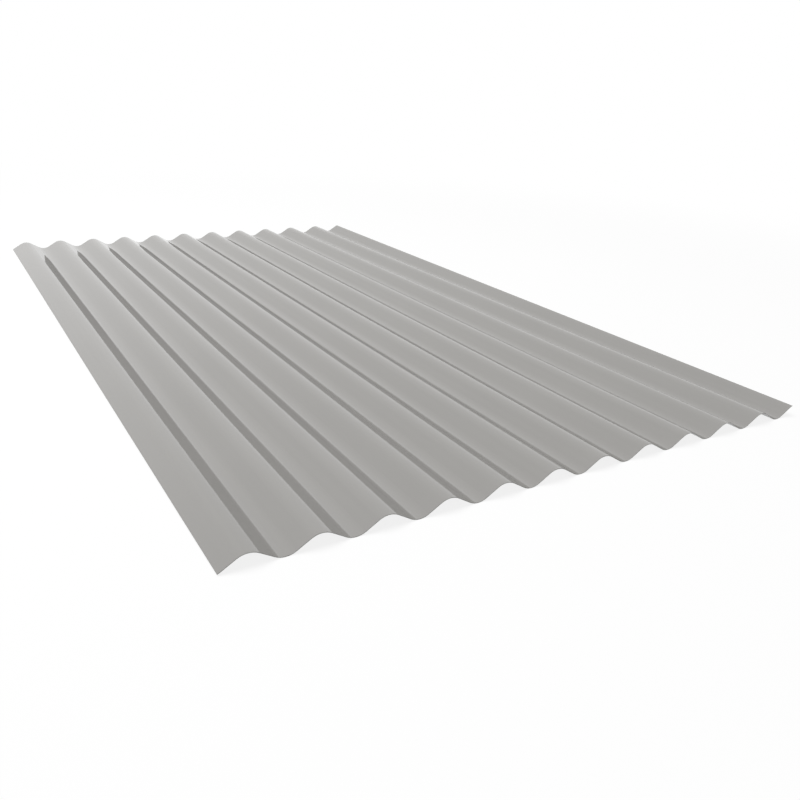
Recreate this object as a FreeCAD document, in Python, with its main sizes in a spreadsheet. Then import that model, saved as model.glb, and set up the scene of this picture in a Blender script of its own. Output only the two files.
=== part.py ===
# Corrugated polycarbonate sheet: one extruded sheet of even gauge, waved across its width.
#
# Frame, in millimetres: X across the corrugations, Y along them, Z up. The origin is on the floor, in the
# middle of the sheet's footprint, and the undersides of the troughs touch the floor.
#
# The section is half a wave, from the bottom of a trough to the top of a crest: two arcs joined by a
# straight web. It is padded to the sheet's length, mirrored into one wave and patterned across the width.
# The two long edges are then trimmed off square, as the slitting knives do.
import FreeCAD, Part
import math
import os

import Sketcher

# Driving dimensions: alias, value and meaning. Lengths are in millimetres, and the slope is in degrees.
DIMENSIONS = (
    ("sheet_width", 860, "overall width, across the corrugations"),
    ("sheet_length", 1460, "overall length, along the corrugations"),
    ("sheet_gauge", 0.8, "thickness of the polycarbonate"),
    ("wave_pitch", 76, "from one crest to the next"),
    ("wave_depth", 15.5, "from trough to crest, on the same face"),
    ("web_slope", 31, "slope of the straight web between two bends"),
    ("first_crest", 30, "from the low long edge in to the first crest"),
    ("trim_margin", 20, "how far the trimming cuts run past the blank"),
)

START, END, CENTRE = 1, 2, 3  # the points of a sketch's line or arc
ORIGIN = (-1, 1)  # a sketch's own origin
X_AXIS, Z_AXIS = -1, -2  # a sketch's horizontal and vertical axis


def add_dimensions(doc):
    """The spreadsheet that every size of the sheet is bound to."""
    cells = doc.addObject("Spreadsheet::Sheet", "Dimensions")
    for row, (alias, value, meaning) in enumerate(DIMENSIONS, start=1):
        cells.set(f"A{row}", alias)
        cells.set(f"B{row}", str(value))
        cells.set(f"C{row}", meaning)
        cells.setAlias(f"B{row}", alias)
    doc.recompute()
    return cells


def origin_feature(body, role):
    """An axis or plane of the body's own origin."""
    return next(feature for feature in body.Origin.OriginFeatures if feature.Role == role)


def add_sketch(body, name, plane):
    """An empty sketch on one of the body's origin planes."""
    sketch = body.newObject("Sketcher::SketchObject", name)
    sketch.AttachmentSupport = [(origin_feature(body, plane), "")]
    sketch.MapMode = "FlatFace"
    return sketch


def bind(sketch, kind, points, value, formula):
    """A dimensional constraint whose value follows a formula of the spreadsheet's cells."""
    number = sketch.addConstraint(Sketcher.Constraint(kind, *points, value))
    sketch.setExpression(f"Constraints[{number}]", formula)


def add_arc(sketch, centre, radius, first_degrees, sweep_degrees):
    """A circular arc, counter-clockwise from its first angle."""
    circle = Part.Circle(FreeCAD.Vector(*centre, 0), FreeCAD.Vector(0, 0, 1), radius)
    first = math.radians(first_degrees)
    return sketch.addGeometry(Part.ArcOfCircle(circle, first, first + math.radians(sweep_degrees)))


def add_line(sketch, start, end):
    """A straight line between two points of the sketch plane."""
    return sketch.addGeometry(Part.LineSegment(FreeCAD.Vector(*start, 0), FreeCAD.Vector(*end, 0)))


def draw_half_wave(sketch, cells):
    """The closed outline of half a wave. Its lower face starts at the sketch's origin."""
    gauge, depth, slope = cells.sheet_gauge, cells.wave_depth, math.radians(cells.web_slope)
    half_pitch = cells.wave_pitch / 2
    radius = (half_pitch * math.sin(slope) - depth * math.cos(slope)) / (2 * (1 - math.cos(slope)))
    inner, outer = radius - gauge / 2, radius + gauge / 2
    trough_centre = (0, outer)
    crest_centre = (half_pitch, depth - inner)

    def on_trough(r):
        return (r * math.sin(slope), outer - r * math.cos(slope))

    def on_crest(r):
        return (half_pitch - r * math.sin(slope), depth - inner + r * math.cos(slope))

    trough_under = add_arc(sketch, trough_centre, outer, -90, cells.web_slope)
    trough_top = add_arc(sketch, trough_centre, inner, -90, cells.web_slope)
    crest_under = add_arc(sketch, crest_centre, inner, 90, cells.web_slope)
    crest_top = add_arc(sketch, crest_centre, outer, 90, cells.web_slope)
    web_under = add_line(sketch, on_trough(outer), on_crest(inner))
    web_top = add_line(sketch, on_trough(inner), on_crest(outer))
    trough_end = add_line(sketch, (0, 0), (0, gauge))
    crest_end = add_line(sketch, (half_pitch, depth), (half_pitch, depth + gauge))

    join = Sketcher.Constraint
    sketch.addConstraint([
        join("Coincident", trough_under, START, *ORIGIN),
        join("Coincident", trough_end, START, trough_under, START),
        join("Coincident", trough_end, END, trough_top, START),
        join("Coincident", crest_end, START, crest_under, START),
        join("Coincident", crest_end, END, crest_top, START),
        join("Vertical", trough_end),
        join("Vertical", crest_end),
        join("Coincident", trough_under, CENTRE, trough_top, CENTRE),
        join("Coincident", crest_under, CENTRE, crest_top, CENTRE),
        join("PointOnObject", trough_under, CENTRE, Z_AXIS),
        join("Vertical", crest_under, START, crest_under, CENTRE),
        join("Tangent", trough_under, END, web_under, START),
        join("Tangent", web_under, END, crest_under, END),
        join("Tangent", trough_top, END, web_top, START),
        join("Tangent", web_top, END, crest_top, END),
        join("Equal", trough_under, crest_top),
        join("Equal", trough_top, crest_under),
    ])
    low_to_high = (*ORIGIN, crest_under, START)
    bind(sketch, "DistanceX", low_to_high, half_pitch, "Dimensions.wave_pitch / 2")
    bind(sketch, "DistanceY", low_to_high, depth, "Dimensions.wave_depth")
    bind(sketch, "DistanceY", (trough_end, START, trough_end, END), gauge, "Dimensions.sheet_gauge")
    bind(sketch, "Angle", (web_under,), slope, "Dimensions.web_slope * 1 deg")


def draw_trim_box(sketch, cells, left, width, width_formula):
    """A rectangle over one strip of waste, centred on the X axis and longer than the sheet."""
    right, half_length = left + width, cells.sheet_length / 2 + cells.trim_margin
    corners = [(left, -half_length), (right, -half_length), (right, half_length), (left, half_length)]
    bottom, outer, top, inner = (add_line(sketch, corners[i], corners[(i + 1) % 4]) for i in range(4))
    sides = (bottom, outer, top, inner)
    join = Sketcher.Constraint
    sketch.addConstraint(
        [join("Coincident", sides[i], END, sides[(i + 1) % 4], START) for i in range(4)]
        + [join("Horizontal", bottom), join("Horizontal", top), join("Vertical", inner)]
        + [join("Symmetric", outer, START, outer, END, X_AXIS)]
    )
    bind(sketch, "DistanceX", (bottom, START, bottom, END), width, width_formula)
    bind(sketch, "DistanceY", (outer, START, outer, END), 2 * half_length,
         "Dimensions.sheet_length + 2 * Dimensions.trim_margin")
    return bottom


def draw_trims(sketch, cells):
    """The waste beside each long edge, with the finished sheet's width left between the two."""
    pitch, margin = cells.wave_pitch, cells.trim_margin
    low_start = -(pitch / 2 + margin)
    low_width = pitch - cells.first_crest + margin
    low = draw_trim_box(sketch, cells, low_start, low_width,
                        "Dimensions.wave_pitch - Dimensions.first_crest + Dimensions.trim_margin")
    high = draw_trim_box(sketch, cells, low_start + low_width + cells.sheet_width, pitch + margin,
                         "Dimensions.wave_pitch + Dimensions.trim_margin")
    bind(sketch, "DistanceX", (low, START, *ORIGIN), -low_start,
         "Dimensions.wave_pitch / 2 + Dimensions.trim_margin")
    bind(sketch, "DistanceX", (low, END, high, START), cells.sheet_width, "Dimensions.sheet_width")


def corrugated_sheet(doc, cells):
    """The one piece: half a wave padded, mirrored, patterned across and trimmed."""
    body = doc.addObject("PartDesign::Body", "CorrugatedSheet")
    body.Label = "corrugated_sheet"

    section = add_sketch(body, "HalfWaveSection", "XZ_Plane")
    draw_half_wave(section, cells)
    half_wave = body.newObject("PartDesign::Pad", "HalfWave")
    half_wave.Profile = section
    half_wave.SideType = "Symmetric"
    half_wave.setExpression("Length", "Dimensions.sheet_length")
    doc.recompute()

    wave = body.newObject("PartDesign::Mirrored", "Wave")
    wave.TransformMode = "Whole shape"
    wave.MirrorPlane = (origin_feature(body, "YZ_Plane"), [""])
    body.Tip = wave
    doc.recompute()

    blank = body.newObject("PartDesign::LinearPattern", "Blank")
    blank.TransformMode = "Whole shape"
    blank.Direction = (origin_feature(body, "X_Axis"), [""])
    blank.Mode = "Spacing"
    blank.setExpression("Offset", "Dimensions.wave_pitch")
    blank.setExpression(
        "Occurrences",
        "1 + ceil((Dimensions.sheet_width - Dimensions.first_crest) / Dimensions.wave_pitch)",
    )
    body.Tip = blank
    doc.recompute()

    trims = add_sketch(body, "EdgeTrims", "XY_Plane")
    draw_trims(trims, cells)
    trimmed = body.newObject("PartDesign::Pocket", "TrimmedSheet")
    trimmed.Profile = trims
    trimmed.Type = "ThroughAll"
    trimmed.SideType = "Symmetric"
    body.Tip = trimmed

    body.setExpression(
        "Placement.Base.x",
        "Dimensions.first_crest - Dimensions.wave_pitch / 2 - Dimensions.sheet_width / 2",
    )
    doc.recompute()
    return body


def check(doc, parts):
    """Stops the build on any failed object, open sketch or broken shape."""
    for thing in doc.Objects:
        if {"Invalid", "Error"} & set(thing.State):
            raise RuntimeError(f"{thing.Label} did not recompute: {thing.State}")
        if thing.TypeId == "Sketcher::SketchObject" and thing.solve() != 0:
            raise RuntimeError(f"{thing.Label} has constraints that cannot be met")
    for part in parts:
        shape = part.Shape
        if shape.isNull() or not shape.isValid() or len(shape.Solids) != 1:
            raise RuntimeError(f"{part.Label} is not one valid solid")


def main():
    doc = FreeCAD.newDocument("CorrugatedSheet")
    cells = add_dimensions(doc)
    parts = [corrugated_sheet(doc, cells)]
    check(doc, parts)
    os.makedirs("parts", exist_ok=True)
    for part in parts:
        part.Shape.exportStep(os.path.join("parts", part.Label + ".step"))
        box = part.Shape.BoundBox
        print(f"{part.Label}: {box.XLength:.2f} x {box.YLength:.2f} x {box.ZLength:.2f} mm,"
              f" {part.Shape.Volume / 1000:.1f} cm3, {len(part.Shape.Faces)} faces")


main()
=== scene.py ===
# Corrugated polycarbonate sheet: the finished look of one waved, opaque grey roofing sheet, and its studio.
#
# Everything is in metres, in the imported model's frame: X runs across the corrugations, Y along them and Z up.
# The origin is on the floor, in the middle of the sheet's footprint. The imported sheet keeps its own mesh. It
# gets one material here, whose surface depends on which way each face of the sheet points.

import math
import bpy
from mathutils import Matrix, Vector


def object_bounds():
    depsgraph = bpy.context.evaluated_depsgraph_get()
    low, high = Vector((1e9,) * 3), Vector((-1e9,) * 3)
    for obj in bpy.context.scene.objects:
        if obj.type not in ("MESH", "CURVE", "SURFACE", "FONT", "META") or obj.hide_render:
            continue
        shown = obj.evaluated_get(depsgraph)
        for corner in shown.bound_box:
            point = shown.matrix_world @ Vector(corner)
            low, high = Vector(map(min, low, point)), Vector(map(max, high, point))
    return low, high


bl_info = {
    "name": "Corrugated Polycarbonate Sheet",
    "version": (1, 0, 0),
    "blender": (4, 5, 0),
    "location": "3D View > Sidebar > Sheet",
    "description": "Finishes one packed corrugated polycarbonate sheet and sets up a studio for it",
    "category": "Object",
}

import bpy
from bpy.props import FloatProperty, FloatVectorProperty, PointerProperty
from mathutils import Matrix, Vector

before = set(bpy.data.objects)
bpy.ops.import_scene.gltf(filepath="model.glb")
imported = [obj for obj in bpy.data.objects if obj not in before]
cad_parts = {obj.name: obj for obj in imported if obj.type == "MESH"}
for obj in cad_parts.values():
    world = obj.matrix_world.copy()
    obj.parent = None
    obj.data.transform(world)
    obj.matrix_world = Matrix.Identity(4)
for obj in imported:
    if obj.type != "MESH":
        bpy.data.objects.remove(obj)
CAD_LOW, CAD_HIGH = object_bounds()

NODE = "corrugated_sheet"
MM = 0.001
END_FACING = 0.5  # a normal that leans further than this along the sheet belongs to a sawn end
EDGE_FACING = 0.75  # and one that leans further than this across it, more than any web, to a slit edge
WHITE = (1.0, 1.0, 1.0, 1.0)
FIRST_REFLECTION = 2  # the Ray Depth that Light Path gives in the sky for a ray that one face reflected


# ---------------------------------------------------------------- what a user would change


class SheetFinish(bpy.types.PropertyGroup):
    """The colour, the gloss and the fine surface of the plastic."""

    colour: FloatVectorProperty(
        name="Colour", description="The opaque grey that the resin is pigmented with",
        default=(0.331, 0.323, 0.310), min=0.0, max=1.0, subtype="COLOR",
    )
    tint_drift: FloatProperty(
        name="Tint drift", description="How far the pigment wanders, as a share of the colour",
        default=0.03, min=0.0, max=0.2, subtype="FACTOR",
    )
    refraction: FloatProperty(
        name="Refraction", description="Refractive index of polycarbonate",
        default=1.585, min=1.0, max=2.0,
    )
    top_roughness: FloatProperty(
        name="Top roughness", description="How matt the polished top face is",
        default=0.06, min=0.0, max=1.0, subtype="FACTOR",
    )
    under_roughness: FloatProperty(
        name="Under roughness", description="How matt the satin underside is",
        default=0.24, min=0.0, max=1.0, subtype="FACTOR",
    )
    cut_roughness: FloatProperty(
        name="Cut roughness", description="How matt the sawn ends and slit edges are",
        default=0.50, min=0.0, max=1.0, subtype="FACTOR",
    )
    cut_lightness: FloatProperty(
        name="Cut lightness", description="How much paler the sawn plastic is than its face",
        default=1.08, min=1.0, max=2.0,
    )
    line_spacing: FloatProperty(
        name="Line spacing", description="Distance between the fine lines that the die draws along the sheet",
        default=1.2 * MM, min=0.0001, precision=5, unit="LENGTH",
    )
    line_depth: FloatProperty(
        name="Line depth", description="Depth of the die's lines",
        default=0.010 * MM, min=0.0, precision=6, unit="LENGTH",
    )
    rub_reach: FloatProperty(
        name="Rub reach", description="How far down from its highest line a face is rubbed by its neighbour",
        default=1.5 * MM, min=0.0001, precision=5, unit="LENGTH",
    )
    rub_haze: FloatProperty(
        name="Rub haze", description="Roughness that rubbing and handling add",
        default=0.05, min=0.0, max=1.0, subtype="FACTOR",
    )
    tooth_spacing: FloatProperty(
        name="Tooth spacing", description="Distance between the saw's marks on a cut end",
        default=0.6 * MM, min=0.0001, precision=5, unit="LENGTH",
    )
    tooth_depth: FloatProperty(
        name="Tooth depth", description="Depth of the saw's marks",
        default=0.02 * MM, min=0.0, precision=6, unit="LENGTH",
    )


class StudioSettings(bpy.types.PropertyGroup):
    """The floor, the light and the camera."""

    floor_size: FloatProperty(
        name="Floor size", description="Side of the square floor",
        default=60.0, min=2.0, unit="LENGTH",
    )
    floor_colour: FloatVectorProperty(
        name="Floor colour", description="Pale floor that the sheet lies on",
        default=(0.80, 0.80, 0.80), min=0.0, max=1.0, subtype="COLOR",
    )
    shadow_share: FloatProperty(
        name="Shadow share", description="How much of the floor's white can be lost to shadow",
        default=0.15, min=0.0, max=1.0, subtype="FACTOR",
    )
    sky: FloatProperty(
        name="Sky", description="Share of the floor's light that comes evenly from all round",
        default=0.18, min=0.0,
    )
    lamp_share: FloatProperty(
        name="Lamp share", description="Share of the floor's light that comes from the lamp",
        default=0.84, min=0.0,
    )
    lamp_place: FloatVectorProperty(
        name="Lamp place", description="Where the middle of the softbox hangs",
        default=(-1.14, 0.69, 4.54), subtype="TRANSLATION",
    )
    lamp_width: FloatProperty(
        name="Lamp width", description="How wide the softbox is, which softens its shadow",
        default=4.56, min=0.1, unit="LENGTH",
    )
    shadow_reach: FloatVectorProperty(
        name="Shadow reach", description="Where the floor's shadows begin to fade and where they have gone",
        default=(1.0, 2.4), size=2, min=0.0, unit="LENGTH",
    )
    camera_place: FloatVectorProperty(
        name="Camera place", description="Where the camera stands",
        default=(-0.6110, -1.3135, 0.4310), subtype="TRANSLATION",
    )
    camera_azimuth: FloatProperty(
        name="Camera azimuth", description="From +Y round towards +X",
        default=math.radians(32.26), subtype="ANGLE",
    )
    camera_dip: FloatProperty(
        name="Camera dip", description="How far the camera looks down",
        default=math.radians(22.72), subtype="ANGLE",
    )
    camera_roll: FloatProperty(
        name="Camera roll", description="How far the camera leans clockwise",
        default=math.radians(-3.03), subtype="ANGLE",
    )
    lens: FloatProperty(
        name="Lens", description="Focal length, in millimetres",
        default=35.0, min=10.0, unit="CAMERA",
    )


# ---------------------------------------------------------------- shader nodes


class Nodes:
    """Adds nodes to one tree. Each input is given as a socket to link, or as a value to set."""

    def __init__(self, tree):
        self.tree = tree

    def add(self, kind, inputs=None, **settings):
        node = self.tree.nodes.new("ShaderNode" + kind)
        for name, value in settings.items():
            setattr(node, name, value)
        for name, value in (inputs or {}).items():
            if isinstance(value, bpy.types.NodeSocket):
                self.tree.links.new(value, node.inputs[name])
            else:
                node.inputs[name].default_value = value
        return node

    def maths(self, operation, *values):
        """A number worked out from one or two others."""
        return self.add("Math", dict(enumerate(values)), operation=operation).outputs["Value"]

    def mix(self, share, low, high):
        """A number that is low where share is 0, and high where share is 1."""
        inputs = {"Factor": share, "A": low, "B": high}
        return self.add("Mix", inputs, data_type="FLOAT").outputs["Result"]

    def ramp(self, value, low, high, start=0.0, end=1.0):
        """A number that goes smoothly from start to end while value goes from low to high."""
        inputs = {"Value": value, "From Min": low, "From Max": high, "To Min": start, "To Max": end}
        return self.add("MapRange", inputs, interpolation_type="SMOOTHSTEP").outputs["Result"]

    def times(self, vector, scale):
        """A vector times a scale of its own along each axis."""
        return self.add("VectorMath", {0: vector, 1: scale}, operation="MULTIPLY").outputs["Vector"]

    def place(self, scale):
        """The point of the surface in the object's own metres, times a scale along each axis."""
        return self.times(self.add("TexCoord").outputs["Object"], scale)

    def noise(self, where, detail=2.0, scale=1.0):
        """Soft noise about 0.5, with a feature or so in each unit of where."""
        inputs = {"Vector": where, "Scale": scale, "Detail": detail}
        return self.add("TexNoise", inputs).outputs["Fac"]

    def group(self, tree, inputs=None):
        """The outputs of a node group placed here with values or sockets of its own."""
        return self.add("Group", inputs, node_tree=tree).outputs


def new_group(name, inputs, outputs):
    """An empty node group. Each input has a socket type and a value, and each output a socket type."""
    tree = bpy.data.node_groups.new(name, "ShaderNodeTree")
    for socket, (kind, value) in inputs.items():
        made = tree.interface.new_socket(name=socket, in_out="INPUT", socket_type=kind)
        made.default_value = value
    for socket, kind in outputs.items():
        tree.interface.new_socket(name=socket, in_out="OUTPUT", socket_type=kind)
    nodes = Nodes(tree)
    given = tree.nodes.new("NodeGroupInput").outputs
    result = tree.nodes.new("NodeGroupOutput").inputs
    return nodes, given, result


NUMBER, COLOUR, VECTOR = "NodeSocketFloat", "NodeSocketColor", "NodeSocketVector"

# How close the patterns in the plastic are, as repeats to the metre along X, Y and Z.
TINT_CLOUDS = (9.0, 5.0, 9.0)
TINT_STREAKS = (120.0, 1.2, 0.0)
RUBBED_SPOTS = (60.0, 14.0, 0.0)
HAIRLINES = (1100.0, 7.0, 0.0)
HAIRLINE_PATCHES = (7.0, 7.0, 0.0)
DIE_LINES_ALONG = 0.4

HAIRLINE_TURN = 0.32  # in radians, from the sheet's length
SWELL_SCALE = 0.12  # repeats of a broad swell, as a share of the fine lines' own
SAW_SLANT = 0.2  # repeats of the saw's marks through the gauge, as a share of those along the cut
KNIFE_ALONG, KNIFE_THROUGH = 0.05, 4.0  # the knife's marks on an edge, as shares of the saw's repeats
CUT_SWELL = 0.5  # how high the broad swells are on a cut face, against its fine marks
MOULDED_SWING, CUT_SWING = 0.25, 0.2  # how far streaks change the roughness of a moulded and of a cut face

# The noise between which a pattern comes in: where it begins to show, and where it is whole.
GLOSS_STREAKS = (0.3, 0.7)
RUBBED_SPOTS_SHOW = (0.45, 0.65)
HAIRLINES_SHOW = (0.70, 0.78)
HAIRLINE_PATCHES_SHOW = (0.50, 0.62)


def facing_group():
    """Masks of the sheet's faces, from the way they point. What none of them covers is the top."""
    outputs = {"Underside": NUMBER, "Sawn End": NUMBER, "Slit Edge": NUMBER}
    nodes, _, result = new_group("facing", {}, outputs)
    normal = nodes.add("SeparateXYZ", {0: nodes.add("TexCoord").outputs["Normal"]}).outputs
    masks = {
        "Underside": nodes.maths("LESS_THAN", normal["Z"], 0.0),
        "Sawn End": nodes.maths("GREATER_THAN", nodes.maths("ABSOLUTE", normal["Y"]), END_FACING),
        "Slit Edge": nodes.maths("GREATER_THAN", nodes.maths("ABSOLUTE", normal["X"]), EDGE_FACING),
    }
    for name, mask in masks.items():
        nodes.tree.links.new(mask, result[name])
    return nodes.tree


def resin_tint_group():
    """The pigmented resin: its colour wanders a little, in clouds and along the melt's streaks."""
    nodes, given, result = new_group(
        "resin_tint",
        {"Colour": (COLOUR, (0.5, 0.5, 0.5, 1.0)), "Drift": (NUMBER, 0.01), "Lightness": (NUMBER, 1.0)},
        {"Colour": COLOUR},
    )
    clouds = nodes.noise(nodes.place(TINT_CLOUDS))
    streaks = nodes.noise(nodes.place(TINT_STREAKS), detail=3.0)
    # Each noise lies about 0.5, so their sum less 1 swings both ways, and twice that fills -1 to 1.
    swing = nodes.maths("SUBTRACT", nodes.maths("ADD", clouds, streaks), 1.0)
    share = nodes.maths("MULTIPLY", nodes.maths("MULTIPLY", swing, 2.0), given["Drift"])
    strength = nodes.maths("MULTIPLY", nodes.maths("ADD", share, 1.0), given["Lightness"])
    tinted = nodes.add("VectorMath", {0: given["Colour"], "Scale": strength}, operation="SCALE")
    nodes.tree.links.new(tinted.outputs["Vector"], result["Colour"])
    return nodes.tree


def drawn_lines_group():
    """Lines that a die, a saw or a knife draws: fine ones over broad swells, and streaks of gloss."""
    nodes, given, result = new_group(
        "drawn_lines",
        {"Repeats": (VECTOR, (1000.0, DIE_LINES_ALONG, 0.0)), "Swell": (NUMBER, 3.0)},
        {"Height": NUMBER, "Streak": NUMBER},
    )
    where = nodes.place(given["Repeats"])
    fine = nodes.noise(where, detail=3.0)
    broad = nodes.noise(where, detail=1.0, scale=SWELL_SCALE)
    swell = nodes.maths("MULTIPLY", broad, given["Swell"])
    nodes.tree.links.new(nodes.maths("ADD", fine, swell), result["Height"])
    nodes.tree.links.new(broad, result["Streak"])
    return nodes.tree


def handling_haze_group():
    """Where sheets have slid on one another: a broken haze on the lines that touch, and sparse hairlines."""
    nodes, given, result = new_group(
        "handling_haze",
        {"Touching Height": (NUMBER, 0.0), "Reach": (NUMBER, 0.001)},
        {"Haze": NUMBER},
    )
    height = nodes.add("SeparateXYZ", {0: nodes.add("TexCoord").outputs["Object"]}).outputs["Z"]
    away = nodes.maths("ABSOLUTE", nodes.maths("SUBTRACT", height, given["Touching Height"]))
    touching = nodes.maths("SUBTRACT", 1.0, nodes.maths("DIVIDE", away, given["Reach"]))
    broken = nodes.ramp(nodes.noise(nodes.place(RUBBED_SPOTS), detail=4.0), *RUBBED_SPOTS_SHOW)
    rubbed = nodes.maths("MULTIPLY", nodes.maths("MAXIMUM", touching, 0.0), broken)
    level = nodes.place((1.0, 1.0, 0.0))
    turned = nodes.add("VectorRotate", {"Vector": level, "Angle": HAIRLINE_TURN}).outputs["Vector"]
    hairs = nodes.ramp(nodes.noise(nodes.times(turned, HAIRLINES), detail=1.0), *HAIRLINES_SHOW)
    patches = nodes.ramp(nodes.noise(nodes.place(HAIRLINE_PATCHES)), *HAIRLINE_PATCHES_SHOW)
    scratched = nodes.maths("MULTIPLY", hairs, patches)
    nodes.tree.links.new(nodes.maths("MAXIMUM", rubbed, scratched), result["Haze"])
    return nodes.tree


# ---------------------------------------------------------------- finish


def new_material(name):
    """An empty node material and its tree's Nodes."""
    material = bpy.data.materials.new(name)
    material.use_nodes = True
    material.node_tree.nodes.clear()
    return material, Nodes(material.node_tree)


def moulded_roughness(nodes, finish, underside, streak):
    """Glossy on top and satin below, in streaks, with a haze where the sheet has been rubbed."""
    haze = handling_haze_group()
    highest, lowest = (
        nodes.group(haze, {"Touching Height": height, "Reach": finish.rub_reach})["Haze"]
        for height in (CAD_HIGH.z, CAD_LOW.z)
    )
    smooth = nodes.mix(underside, finish.top_roughness, finish.under_roughness)
    swing = nodes.ramp(streak, *GLOSS_STREAKS, 1.0 - MOULDED_SWING, 1.0 + MOULDED_SWING)
    streaked = nodes.maths("MULTIPLY", smooth, swing)
    rubbed = nodes.maths("MULTIPLY", nodes.mix(underside, highest, lowest), finish.rub_haze)
    return nodes.maths("ADD", streaked, rubbed)


def cut_roughness(nodes, finish, streak):
    """Matt where the plastic was sawn or slit, in streaks."""
    low, high = ((1.0 + swing) * finish.cut_roughness for swing in (-CUT_SWING, CUT_SWING))
    return nodes.ramp(streak, *GLOSS_STREAKS, low, high)


def polycarbonate(finish):
    """The sheet's material: a glossy top, a satin underside, sawn ends and slit edges."""
    material, nodes = new_material("polycarbonate")
    facing = nodes.group(facing_group())
    underside, end = facing["Underside"], facing["Sawn End"]
    cut = nodes.maths("MAXIMUM", end, facing["Slit Edge"])

    tint = nodes.group(resin_tint_group(), {
        "Colour": (*finish.colour, 1.0),
        "Drift": finish.tint_drift,
        "Lightness": nodes.mix(cut, 1.0, finish.cut_lightness),
    })

    drawn, teeth = drawn_lines_group(), 1.0 / finish.tooth_spacing
    die = nodes.group(drawn, {"Repeats": (1.0 / finish.line_spacing, DIE_LINES_ALONG, 0.0)})
    saw = nodes.group(drawn, {"Repeats": (teeth, 0.0, SAW_SLANT * teeth), "Swell": CUT_SWELL})
    knife = nodes.group(drawn, {
        "Repeats": (0.0, KNIFE_ALONG * teeth, KNIFE_THROUGH * teeth),
        "Swell": CUT_SWELL,
    })

    gloss = moulded_roughness(nodes, finish, underside, die["Streak"])
    matt = cut_roughness(nodes, finish, nodes.mix(end, knife["Streak"], saw["Streak"]))

    die_relief = nodes.maths("MULTIPLY", die["Height"], finish.line_depth)
    cut_height = nodes.mix(end, knife["Height"], saw["Height"])
    cut_relief = nodes.maths("MULTIPLY", cut_height, finish.tooth_depth)
    relief = nodes.mix(cut, die_relief, cut_relief)
    bump = nodes.add("Bump", {"Height": relief, "Distance": 1.0, "Strength": 1.0})

    shader = nodes.add("BsdfPrincipled", {
        "Base Color": tint["Colour"],
        "Roughness": nodes.mix(cut, gloss, matt),
        "IOR": finish.refraction,
        "Normal": bump.outputs["Normal"],
    })
    nodes.add("OutputMaterial", {"Surface": shader.outputs["BSDF"]})
    return material


# ---------------------------------------------------------------- the studio


def floor(studio):
    """A wide pale floor, white to the camera except where the sheet shades it."""
    half = studio.floor_size / 2
    mesh = bpy.data.meshes.new("floor")
    corners = [(-half, -half, 0.0), (half, -half, 0.0), (half, half, 0.0), (-half, half, 0.0)]
    mesh.from_pydata(corners, [], [(0, 1, 2, 3)])
    made = bpy.data.objects.new("floor", mesh)
    bpy.context.scene.collection.objects.link(made)
    mesh.materials.append(floor_finish(studio))


def floor_finish(studio):
    """Pale and matt to the light, and clear from below. Seen from above it is white, less the sheet's shadow.

    A share of that white is the light that falls there, which carries the shadow, and the rest is a glow. The
    share fades out away from the sheet, so that the floor stays white where less of the lamp's light falls.
    """
    material, nodes = new_material("studio_floor")
    matt = nodes.add("BsdfDiffuse", {"Color": (*studio.floor_colour, 1.0)})
    away = nodes.add("VectorMath", {0: nodes.place((1.0, 1.0, 1.0))}, operation="LENGTH").outputs["Value"]
    share = nodes.ramp(away, *studio.shadow_reach, studio.shadow_share, 0.0)
    shaded = nodes.add("BsdfDiffuse", {"Color": share})
    glow = nodes.add("Emission", {"Strength": nodes.maths("SUBTRACT", 1.0, share)})
    seen = nodes.add("AddShader", {0: shaded.outputs["BSDF"], 1: glow.outputs["Emission"]})
    upper = nodes.add("MixShader", {
        "Fac": seen_directly(nodes), 1: matt.outputs["BSDF"], 2: seen.outputs["Shader"],
    })
    clear = nodes.add("BsdfTransparent")
    both = nodes.add("MixShader", {
        "Fac": nodes.add("NewGeometry").outputs["Backfacing"],
        1: upper.outputs["Shader"],
        2: clear.outputs["BSDF"],
    })
    nodes.add("OutputMaterial", {"Surface": both.outputs["Shader"]})
    return material


def seen_directly(nodes):
    """1 for a ray from the camera, or one that a glossy or clear face has turned, and else 0."""
    path = nodes.add("LightPath").outputs
    mirrored = nodes.maths("MAXIMUM", path["Is Glossy Ray"], path["Is Transmission Ray"])
    return nodes.maths("MAXIMUM", path["Is Camera Ray"], mirrored)


def sky(studio):
    """Even light from all round, over a white backdrop that shows to the camera and in a first reflection."""
    world = bpy.data.worlds.new("studio_sky")
    world.use_nodes = True
    world.node_tree.nodes.clear()
    nodes = Nodes(world.node_tree)
    depth = nodes.add("LightPath").outputs["Ray Depth"]
    early = nodes.maths("LESS_THAN", depth, FIRST_REFLECTION + 0.5)
    light = nodes.add("Background", {"Color": WHITE, "Strength": studio.sky})
    white = nodes.add("Background", {"Color": WHITE, "Strength": 1.0})
    chosen = nodes.add("MixShader", {
        "Fac": nodes.maths("MULTIPLY", seen_directly(nodes), early),
        1: light.outputs["Background"],
        2: white.outputs["Background"],
    })
    nodes.add("OutputWorld", {"Surface": chosen.outputs["Shader"]})
    bpy.context.scene.world = world


def lamp(studio):
    """A wide softbox hung over the sheet, facing it."""
    place = Vector(studio.lamp_place)
    light = bpy.data.lights.new("softbox", "AREA")
    light.shape = "DISK"
    light.size = studio.lamp_width
    # The softbox faces the origin. Each watt of it lights a floor there by the cosine of its angle from
    # overhead, over pi times this square, and a floor lit by pi renders as its own colour.
    square = place.length_squared + (studio.lamp_width / 2) ** 2
    light.energy = studio.lamp_share * math.pi**2 * square / place.normalized().z
    made = bpy.data.objects.new("softbox", light)
    made.visible_glossy = False  # a mirrored softbox would leave a hard white patch on the webs
    made.matrix_world = Matrix.Translation(place) @ place.to_track_quat("Z", "Y").to_matrix().to_4x4()
    bpy.context.scene.collection.objects.link(made)


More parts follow.
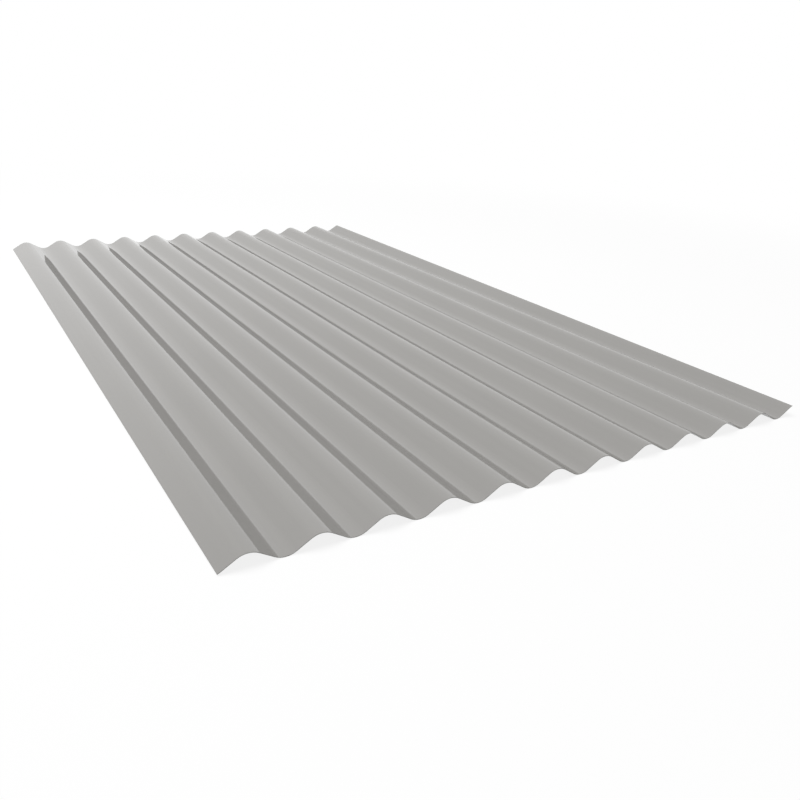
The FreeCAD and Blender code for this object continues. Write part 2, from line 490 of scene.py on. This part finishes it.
def camera(studio):
    """The camera, low over the near left corner, looking down across the waves."""
    dip, azimuth = studio.camera_dip, studio.camera_azimuth
    ahead = Vector((
        math.cos(dip) * math.sin(azimuth),
        math.cos(dip) * math.cos(azimuth),
        -math.sin(dip),
    ))
    lens = bpy.data.cameras.new("camera")
    lens.lens = studio.lens
    lens.clip_start, lens.clip_end = 0.01, 200.0
    made = bpy.data.objects.new("camera", lens)
    level = ahead.to_track_quat("-Z", "Y").to_matrix().to_4x4()
    lean = Matrix.Rotation(-studio.camera_roll, 4, "Z")
    made.matrix_world = Matrix.Translation(studio.camera_place) @ level @ lean
    bpy.context.scene.collection.objects.link(made)
    bpy.context.scene.camera = made


# ---------------------------------------------------------------- operators and panel


class OBJECT_OT_corrugated_sheet(bpy.types.Operator):
    """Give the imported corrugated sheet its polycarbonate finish"""

    bl_idname = "object.corrugated_sheet"
    bl_label = "Finish Corrugated Sheet"
    bl_options = {"REGISTER", "UNDO"}

    def execute(self, context):
        material = polycarbonate(context.scene.sheet_finish)
        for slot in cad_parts[NODE].material_slots:
            slot.material = material
        return {"FINISHED"}


class SCENE_OT_sheet_studio(bpy.types.Operator):
    """Set up the pale floor, the soft light and the camera"""

    bl_idname = "scene.sheet_studio"
    bl_label = "Set Up Studio"
    bl_options = {"REGISTER", "UNDO"}

    def execute(self, context):
        studio = context.scene.sheet_studio
        floor(studio)
        sky(studio)
        lamp(studio)
        camera(studio)
        context.scene.view_settings.view_transform = "Standard"
        return {"FINISHED"}


class VIEW3D_PT_corrugated_sheet(bpy.types.Panel):
    """The sheet's finish and studio, and the buttons that build them"""

    bl_idname = "VIEW3D_PT_corrugated_sheet"
    bl_label = "Corrugated Sheet"
    bl_space_type = "VIEW_3D"
    bl_region_type = "UI"
    bl_category = "Sheet"

    def draw(self, context):
        for settings, operator in (
            (context.scene.sheet_finish, OBJECT_OT_corrugated_sheet),
            (context.scene.sheet_studio, SCENE_OT_sheet_studio),
        ):
            box = self.layout.box()
            for name in settings.__annotations__:
                box.prop(settings, name)
            box.operator(operator.bl_idname)


CLASSES = (
    SheetFinish,
    StudioSettings,
    OBJECT_OT_corrugated_sheet,
    SCENE_OT_sheet_studio,
    VIEW3D_PT_corrugated_sheet,
)


def register():
    for cls in CLASSES:
        bpy.utils.register_class(cls)
    bpy.types.Scene.sheet_finish = PointerProperty(type=SheetFinish)
    bpy.types.Scene.sheet_studio = PointerProperty(type=StudioSettings)


def unregister():
    del bpy.types.Scene.sheet_studio
    del bpy.types.Scene.sheet_finish
    for cls in reversed(CLASSES):
        bpy.utils.unregister_class(cls)


def main():
    register()
    bpy.ops.object.corrugated_sheet()
    bpy.ops.scene.sheet_studio()


if __name__ == "__main__":
    main()
